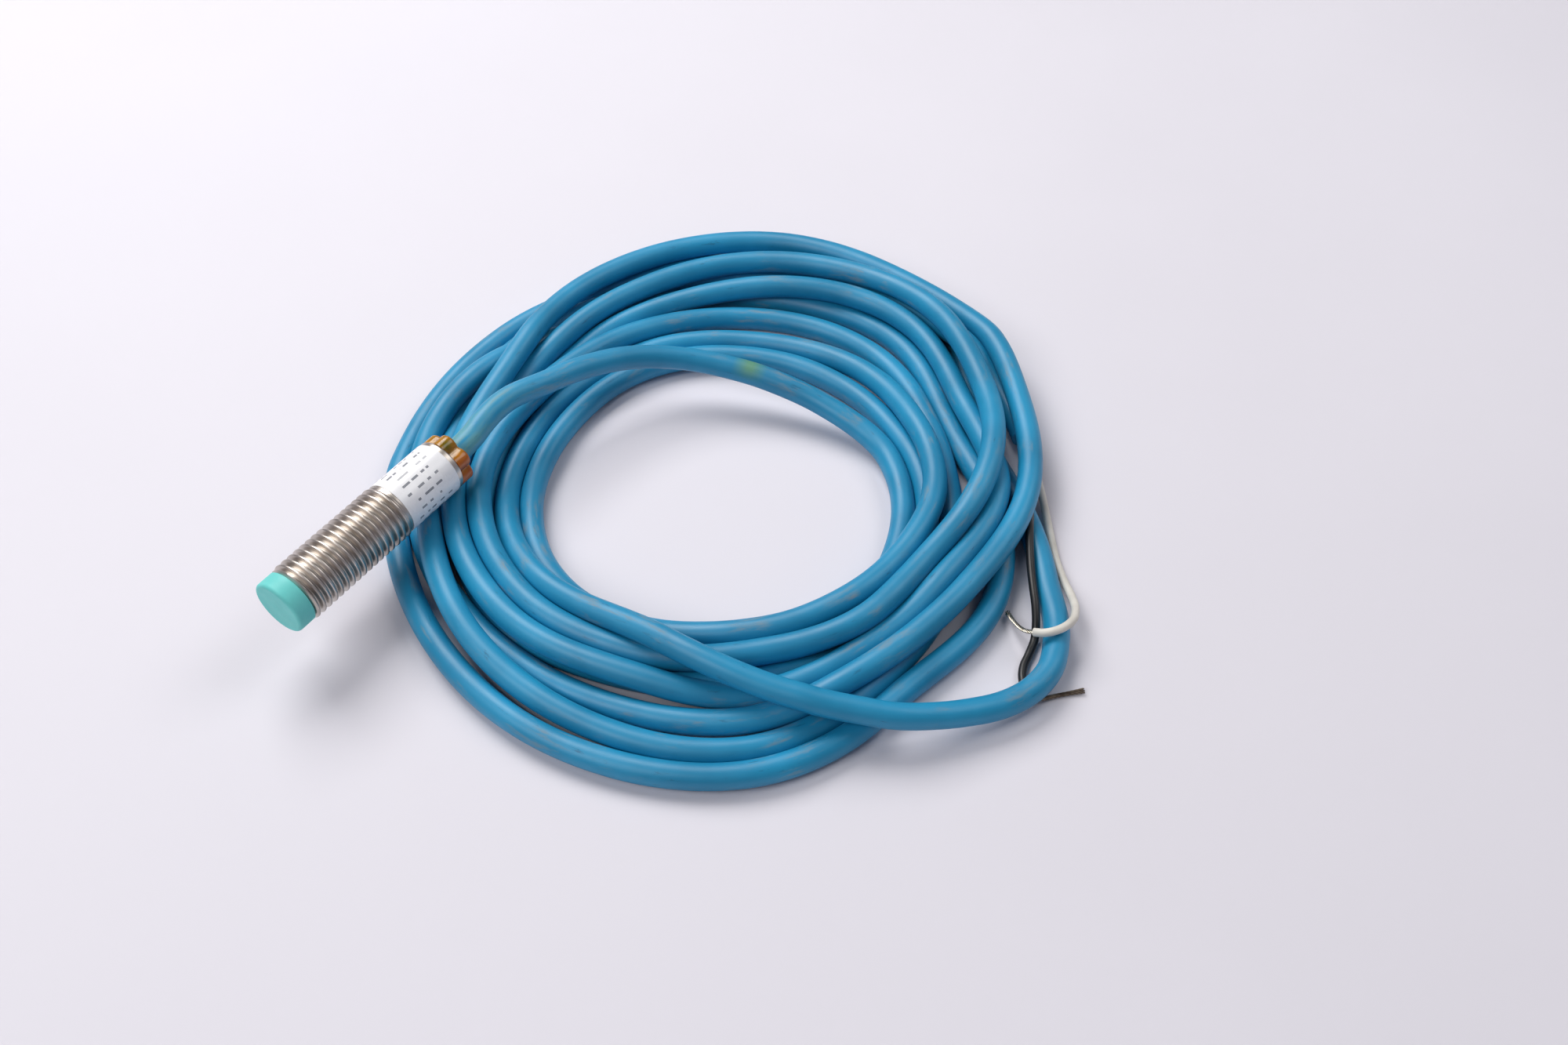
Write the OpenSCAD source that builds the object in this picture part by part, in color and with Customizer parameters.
// Cylindrical inductive proximity sensor with a moulded-in two-core cable.
// Millimetres. +X points out of the sensing face, +Z is up, and the origin is
// the centre of the sensing face. The barrel lies level on its coiled cable.

/* [Barrel] */
// Outside diameter of the thread
thread_d = 8; // [6.5:0.1:12]
// Distance from one thread crest to the next
thread_pitch = 1; // [0.8:0.05:1.5]
// Length of the threaded stretch
thread_len = 17; // [10:1:40]
// Depth of the thread groove
thread_depth = 0.6; // [0.3:0.05:0.7]
// Width of the flat on top of each thread crest
crest_flat = 0.2; // [0.1:0.05:0.3]
// Metal left between the thread groove and the bore
barrel_wall = 0.35; // [0.25:0.05:0.6]
// Length of the plain stretch behind the thread
plain_len = 9.8; // [9.2:0.1:20]
// How much lower than the thread crests the plain stretch is
plain_step = 0.24; // [0.1:0.02:0.4]

/* [Sensing cap] */
// Length of the cap that shows in front of the barrel
cap_len = 2.5; // [2:0.1:6]
// Thickness of the cap's front wall
cap_wall = 0.6; // [0.4:0.05:1]
// Radius of the cap's rounded front edge
cap_edge_r = 0.45; // [0.2:0.05:0.8]
// How much lower than the thread crests the cap is
cap_step = 0.2; // [0.05:0.05:0.4]
// Length of the skirt that pushes into the barrel
skirt_len = 3; // [2.5:0.1:5]
// Wall of the skirt
skirt_wall = 0.3; // [0.2:0.05:0.4]

/* [Ferrite core and coil] */
// Thickness of the adhesive pad behind the front wall
pad_t = 0.15; // [0.1:0.05:0.3]
// Length of the pot core
core_len = 2.4; // [2:0.1:4]
// Thickness of the pot core's rim
core_rim = 0.45; // [0.3:0.05:0.6]
// Thickness of the pot core's back plate
core_back = 0.7; // [0.5:0.05:1]
// Diameter of the pot core's centre post
post_d = 1.9; // [1.5:0.1:2.2]
// Wall of the coil former
former_wall = 0.15; // [0.1:0.01:0.2]
// Gap between the winding and the pot core's rim
winding_gap = 0.1; // [0.05:0.01:0.15]
// Diameter of the winding's two wires
coil_wire_d = 0.2; // [0.1:0.02:0.3]
// Distance between the winding's two wires
coil_wire_gap = 2.6; // [2:0.1:2.8]
// Length of the holder between the core and the board
holder_len = 1.6; // [1.2:0.1:3]
// How far the board plugs into the holder
holder_slot = 0.6; // [0.4:0.1:1]

/* [Circuit board] */
// Length of the board
board_len = 15; // [14:0.5:20]
// Thickness of the board
board_t = 0.6; // [0.4:0.1:0.8]
// Wall of the insulating sleeve around the board
sleeve_wall = 0.2; // [0.1:0.05:0.3]
// Length, width and height of the oscillator chip
chip_size = [3.4, 1.9, 0.9]; // [0.5:0.1:4]
// Length, width and height of the output transistor
transistor_size = [1.5, 1.3, 0.8]; // [0.5:0.1:1.6]
// Length, width and height of one ceramic capacitor
capacitor_size = [1.3, 0.7, 0.6]; // [0.3:0.1:1.4]
// Length, width and height of one chip resistor
resistor_size = [1.1, 0.6, 0.35]; // [0.3:0.05:1.2]
// Radius of one solder joint
solder_r = 0.42; // [0.3:0.02:0.5]

/* [Cable entry] */
// Outside diameter of the cable jacket
jacket_d = 3.4; // [3:0.1:3.8]
// Outside diameter of one insulated lead
lead_d = 1.1; // [0.9:0.05:1.2]
// Distance between the two leads
lead_gap = 1.5; // [1.3:0.05:1.6]
// Outside diameter of one lead's bare strands
strand_d = 0.6; // [0.4:0.05:0.8]
// How far the jacket reaches into the barrel from its rear end
jacket_in = 5.8; // [5:0.1:7]
// Wall of the crimped clamp ring on the jacket
clamp_wall = 0.4; // [0.3:0.05:0.5]
// Length of the clamp ring
clamp_len = 1.6; // [1:0.1:2]
// How far the end plug sticks out of the barrel
plug_out = 2.2; // [1:0.1:4]
// How far the end plug reaches into the barrel
plug_in = 1.5; // [1:0.1:2]
// Radius of one lobe of the end plug
lobe_r = 1.35; // [1:0.05:1.5]

/* [Label] */
// Length of the wrapped label
label_len = 8.7; // [6:0.1:9]
// Thickness of the label
label_t = 0.08; // [0.05:0.01:0.12]
// Plain metal between the thread and the label
label_inset = 0.3; // [0.1:0.1:0.5]

/* [Fits] */
// Gap between pieces that slide into each other
fit_gap = 0.02; // [0.01:0.01:0.04]

/* [Hidden] */
$fn = 64;

// Radii across the barrel
thread_r = thread_d / 2;
root_r = thread_r - thread_depth;
bore_r = root_r - barrel_wall;
plain_r = thread_r - plain_step;
cap_r = thread_r - cap_step;
inside_r = bore_r - fit_gap;
core_r = inside_r - skirt_wall - fit_gap;
jacket_r = jacket_d / 2;
lead_r = lead_d / 2;
strand_r = strand_d / 2;

// Depths behind the sensing face
barrel_end = cap_len + thread_len + plain_len;
core_front = cap_wall + pad_t;
core_end = core_front + core_len;
pot_end = core_end - core_back;
holder_end = core_end + holder_len;
board_front = holder_end - holder_slot;
board_end = board_front + board_len;
skirt_end = cap_len + skirt_len;
sleeve_front = skirt_end + 0.2;
sleeve_end = board_end + 0.8;
jacket_front = barrel_end - jacket_in;
plug_front = barrel_end - plug_in;
plug_end = barrel_end + plug_out;
potting_front = sleeve_end + 0.2;
clamp_front = jacket_front + 1.2;
lead_front = board_end - 1.3;
coil_pad = holder_end + 1.2;
lead_pad = lead_front - solder_r;

// Heights and widths on the board
board_top = board_t / 2;
sleeve_in_r = inside_r - sleeve_wall;
board_w = 2 * sqrt(pow(sleeve_in_r - fit_gap, 2) - pow(board_top, 2));
lead_height = board_top + lead_r;
coil_wire_height = board_top + coil_wire_d / 2;

// Cable on the surface that the sensor lies on
surface_z = -11;
// Centre of the coil's outer outline, and how far its long way is turned from +X
coil_centre = [-55, 25.5];
coil_turn = 124;
// Half the coil's two widths outside, and half its hole's two widths
coil_half = [44.5, 52];
hole_half = [25.5, 22.5];
// Centre of the coil's hole from the coil's centre, along its own two widths
hole_offset = [1.2, -6.3];
coil_height = 8.4;
barrel_clearance = 1.1;
tube_sides = 8;

// Route of the cable from the end plug, over the coil and down into its hole
first_run = [[-plug_end, 0, 0], [-35, 0, 0.3], [-38.5, -0.4, 0.8], [-42, -0.4, 1],
             [-48.8, 1.2, 0.2], [-55.5, 3.2, -0.8], [-61.5, 6.4, -2], [-66.7, 11.8, -3.4],
             [-70.2, 18.5, -4.6], [-72.5, 25.5, -5.8], [-73.8, 31.5, -7], [-74.2, 38.5, -8.2]];
// Route of the loop that leaves the coil's side, rounds its front and climbs back
front_loop = [[-76.3, 57.4, -9.3], [-72.5, 63.2, -9.3], [-68, 68.7, -9.3],
              [-62.9, 73.3, -9.2], [-57.6, 77.6, -8.7], [-54.7, 79, -8.3], [-51.2, 80.1, -8],
              [-47.2, 79.8, -8], [-43.2, 78, -8], [-39.3, 74.9, -7.6], [-36, 71.8, -6.8],
              [-33.1, 68.3, -6], [-31.4, 64.9, -5.6], [-29.8, 61.4, -5.2]];
// Routes of the two insulated leads at the cable's free end, and of their strands
white_route = [[-86.6, 56.6, -9.1], [-84.6, 59, -9.2], [-82.2, 61.4, -9.3], [-80.3, 63, -9.4],
               [-78.2, 64.9, -9.8], [-75, 67.5, -10.3], [-71.7, 70, -10.4], [-68.6, 72.4, -10.3],
               [-65.8, 74.9, -9.8], [-63.2, 77.2, -8.8], [-60.4, 78.9, -7.4], [-58, 79.5, -6.5],
               [-55.8, 78.9, -6.2], [-54.4, 77.5, -6.5], [-54.2, 76.2, -7.1]];
white_strand_route = [[-54.2, 76.2, -7.1], [-54.4, 75.1, -7.9], [-55, 74, -8.7],
                      [-56, 72.7, -9.5], [-57.5, 71, -10.4]];
black_route = [[-87.3, 56.8, -9.4], [-86.2, 58.6, -9.9], [-85, 60.2, -10.3], [-83.2, 61.6, -10.4],
               [-81.2, 62.6, -10.4], [-79, 63.2, -10.4], [-76.9, 64, -10.2], [-74.4, 65.1, -9.2],
               [-72, 66.2, -7.9], [-69.6, 67.3, -7], [-66.6, 68.9, -7], [-63.5, 70.8, -7.4],
               [-61, 72.5, -7.7], [-58.8, 74.1, -8.2], [-57.1, 75.2, -9], [-55.5, 76, -10],
               [-53, 76.5, -10.4], [-51.1, 76.8, -10.4], [-49.3, 77.6, -10.4],
               [-47.9, 79, -10.4], [-47.6, 80.4, -10.4]];
black_strand_route = [[-47.6, 80.4, -10.4], [-48.2, 81.2, -10.5], [-49.2, 82, -10.6],
                      [-50.6, 83.3, -10.6], [-52.2, 84.8, -10.6]];

// Turns a shape drawn along +Z so that it runs back from the sensing face
module behind(depth) {
    translate([-depth, 0, 0]) rotate([0, -90, 0]) children();
}

// A round bar or tube along the barrel, from one depth to another
module round_bar(depth, end, r, hole_r = 0) {
    behind(depth) difference() {
        cylinder(r = r, h = end - depth);
        if (hole_r > 0) translate([0, 0, -1]) cylinder(r = hole_r, h = end - depth + 2);
    }
}

// A block that stands on the board: size is length, width and height
module on_board(depth, side, size) {
    translate([-depth - size[0], side - size[1] / 2, board_top]) cube(size);
}

// A block that hangs under the board
module under_board(depth, side, size) {
    translate([-depth - size[0], side - size[1] / 2, -board_top - size[2]]) cube(size);
}

// Unit vector along v
function unit(v) = v / norm(v);

// Direction of a route at one of its points
function heading(route, i) =
    unit(route[min(i + 1, len(route) - 1)] - route[max(i - 1, 0)]);

// Points of the ring around one point of a route
function ring(route, i, r) =
    let (ahead = heading(route, i), side = unit(cross(ahead, [0, 0, 1])), top = cross(side, ahead))
    [for (k = [0 : tube_sides - 1])
        let (a = 360 * k / tube_sides) route[i] + r * (cos(a) * side + sin(a) * top)];

// A tube swept along a route, closed at both ends
module tube(route, r) {
    count = len(route);
    points = [for (i = [0 : count - 1]) each ring(route, i, r)];
    walls = [for (i = [0 : count - 2], k = [0 : tube_sides - 1])
        let (next = (k + 1) % tube_sides, here = i * tube_sides, there = here + tube_sides)
        [here + k, here + next, there + next, there + k]];
    front = [[for (k = [tube_sides - 1 : -1 : 0]) k]];
    back = [[for (k = [0 : tube_sides - 1]) (count - 1) * tube_sides + k]];
    polyhedron(points = points, faces = concat(front, walls, back));
}

// Outline of an oval of two half widths, as evenly turned points
function oval(half, count) =
    [for (k = [0 : count - 1]) let (a = 360 * k / count) [half[0] * cos(a), half[1] * sin(a)]];

module sensing_cap() {
    edge = [for (a = [0 : 15 : 90]) [cap_r - cap_edge_r + cap_edge_r * sin(a),
                                     cap_edge_r - cap_edge_r * cos(a)]];
    skirt_in_r = inside_r - skirt_wall;
    profile = concat([[0, 0]], edge, [[cap_r, cap_len], [inside_r, cap_len],
        [inside_r, skirt_end], [skirt_in_r, skirt_end], [skirt_in_r, cap_wall], [0, cap_wall]]);
    color("mediumturquoise") behind(0) rotate_extrude() polygon(profile);
}

module core_pad() {
    color("ivory") round_bar(cap_wall, core_front, core_r);
}

module ferrite_core() {
    color("dimgray") difference() {
        round_bar(core_front, core_end, core_r);
        round_bar(core_front - 1, pot_end, core_r - core_rim, post_d / 2);
        wire_holes(pot_end - 1, core_end + 1);
    }
}

// Two round holes for the winding's wires
module wire_holes(depth, end) {
    for (side = [-1, 1])
        translate([0, side * coil_wire_gap / 2, coil_wire_height])
            round_bar(depth, end, coil_wire_d / 2 + fit_gap);
}

module coil_former() {
    former_in_r = post_d / 2 + fit_gap;
    flange_r = core_r - core_rim - fit_gap;
    front = core_front + fit_gap;
    color("moccasin") {
        round_bar(front, pot_end, former_in_r + former_wall, former_in_r);
        round_bar(front, front + former_wall, flange_r, former_in_r);
        round_bar(pot_end - former_wall, pot_end, flange_r, former_in_r);
    }
}

module coil_winding() {
    color("peru") round_bar(core_front + fit_gap + former_wall, pot_end - former_wall,
        core_r - core_rim - winding_gap, post_d / 2 + fit_gap + former_wall);
}

module core_holder() {
    color("darkslategray") difference() {
        round_bar(core_end, holder_end, core_r);
        translate([-holder_end - 1, -board_w / 2 - fit_gap, -board_top - fit_gap])
            cube([holder_slot + 1, board_w + 2 * fit_gap, board_t + 2 * fit_gap]);
        wire_holes(core_end - 1, holder_end + 1);
    }
}

module coil_wires() {
    color("chocolate") for (side = [-1, 1])
        translate([0, side * coil_wire_gap / 2, coil_wire_height])
            round_bar(pot_end, coil_pad, coil_wire_d / 2);
}

module circuit_board() {
    color("seagreen") translate([-board_end, -board_w / 2, -board_top])
        cube([board_len, board_w, board_t]);
}

module oscillator_chip() {
    color("black") on_board(board_front + 4.2, 0, chip_size);
}

module output_transistor() {
    color("black") on_board(board_front + 9.4, 0.6, transistor_size);
}

module ceramic_capacitors() {
    color("burlywood") {
        on_board(board_front + 9.4, -1, capacitor_size);
        under_board(board_front + 3, 0.8, capacitor_size);
        under_board(board_front + 6, 0.8, capacitor_size);
    }
}

module chip_resistors() {
    color("darkslateblue") {
        on_board(board_front + 8, 0, resistor_size);
        under_board(board_front + 3, -0.8, resistor_size);
        under_board(board_front + 6, -0.8, resistor_size);
        under_board(board_front + 9, 0, resistor_size);
    }
}

// One solder joint: the half of a ball that stands on the board
module solder_joint(depth, side) {
    translate([-depth, side, board_top]) intersection() {
        sphere(r = solder_r);
        translate([-solder_r, -solder_r, 0]) cube(2 * solder_r);
    }
}

module solder_joints() {
    color("silver") for (side = [-1, 1]) {
        solder_joint(coil_pad + solder_r, side * coil_wire_gap / 2);
        solder_joint(lead_pad, side * lead_gap / 2);
    }
}

module insulating_sleeve() {
    color("goldenrod") round_bar(sleeve_front, sleeve_end, inside_r, sleeve_in_r);
}

module threaded_barrel() {
    crests = floor(thread_len / thread_pitch);
    groove_half = (thread_pitch - crest_flat) / 2;
    root_half = groove_half / 5;
    grooves = [for (i = [0 : crests - 1]) let (mid = cap_len + (i + 0.5) * thread_pitch)
        each [[thread_r, mid - groove_half], [root_r, mid - root_half],
              [root_r, mid + root_half], [thread_r, mid + groove_half]]];
    thread_end = cap_len + thread_len;
    rear_chamfer = 0.15;
    profile = concat([[bore_r, cap_len], [thread_r, cap_len]], grooves,
        [[thread_r, thread_end], [plain_r, thread_end], [plain_r, barrel_end - rear_chamfer],
         [plain_r - rear_chamfer, barrel_end], [bore_r, barrel_end]]);
    color("lightgray") behind(0) rotate_extrude() polygon(profile);
}

module label_wrap() {
    label_front = cap_len + thread_len + label_inset;
    color("white") round_bar(label_front, label_front + label_len, plain_r + label_t, plain_r);
}

module potting_resin() {
    color("darkkhaki") difference() {
        round_bar(potting_front, plug_front, inside_r);
        round_bar(jacket_front, plug_front + 1, jacket_r + fit_gap);
        round_bar(clamp_front, clamp_front + clamp_len, jacket_r + clamp_wall + 2 * fit_gap);
        for (side = [-1, 1]) translate([0, side * lead_gap / 2, lead_height])
            round_bar(potting_front - 1, jacket_front + 0.5, lead_r + fit_gap);
    }
}

module cable_clamp() {
    color("gainsboro") round_bar(clamp_front, clamp_front + clamp_len,
        jacket_r + clamp_wall + fit_gap, jacket_r + fit_gap);
}

module end_plug() {
    lobe_place = plain_r - lobe_r;
    collar_r = inside_r - 0.1;
    color("darkgoldenrod") {
        round_bar(plug_front, barrel_end, inside_r, jacket_r + fit_gap);
        behind(barrel_end) linear_extrude(plug_out) difference() {
            union() {
                circle(r = collar_r);
                for (turn = [0:60:300]) rotate(turn) translate([lobe_place, 0])
                    circle(r = lobe_r);
            }
            circle(r = jacket_r + fit_gap);
        }
    }
}

module jacket_end() {
    color("royalblue") round_bar(jacket_front, plug_end, jacket_r);
}

// One lead inside the barrel, from the cable jacket to its solder joint
module inner_lead(side) {
    translate([0, side * lead_gap / 2, lead_height]) round_bar(lead_front, jacket_front, lead_r);
}

module inner_white_lead() {
    color("ivory") inner_lead(1);
}

module inner_black_lead() {
    color("black") inner_lead(-1);
}

module cable_first_run() {
    color("royalblue") tube(first_run, jacket_r);
}

module cable_coil() {
    color("royalblue") difference() {
        translate([coil_centre[0], coil_centre[1], surface_z]) rotate(coil_turn)
            linear_extrude(coil_height) difference() {
                polygon(oval(coil_half, 48));
                translate(hole_offset) polygon(oval(hole_half, 36));
            }
        round_bar(-5, plug_end + 8, thread_r + barrel_clearance);
    }
}

module cable_front_loop() {
    color("royalblue") tube(front_loop, jacket_r);
}

module white_lead() {
    color("ivory") tube(white_route, lead_r);
}

module black_lead() {
    color("black") tube(black_route, lead_r);
}

module white_lead_strands() {
    color("silver") tube(white_strand_route, strand_r);
}

module black_lead_strands() {
    color("gray") tube(black_strand_route, strand_r);
}

sensing_cap();
core_pad();
ferrite_core();
coil_former();
coil_winding();
core_holder();
coil_wires();
circuit_board();
oscillator_chip();
output_transistor();
ceramic_capacitors();
chip_resistors();
solder_joints();
insulating_sleeve();
threaded_barrel();
label_wrap();
potting_resin();
cable_clamp();
end_plug();
jacket_end();
inner_white_lead();
inner_black_lead();
cable_first_run();
cable_coil();
cable_front_loop();
white_lead();
black_lead();
white_lead_strands();
black_lead_strands();
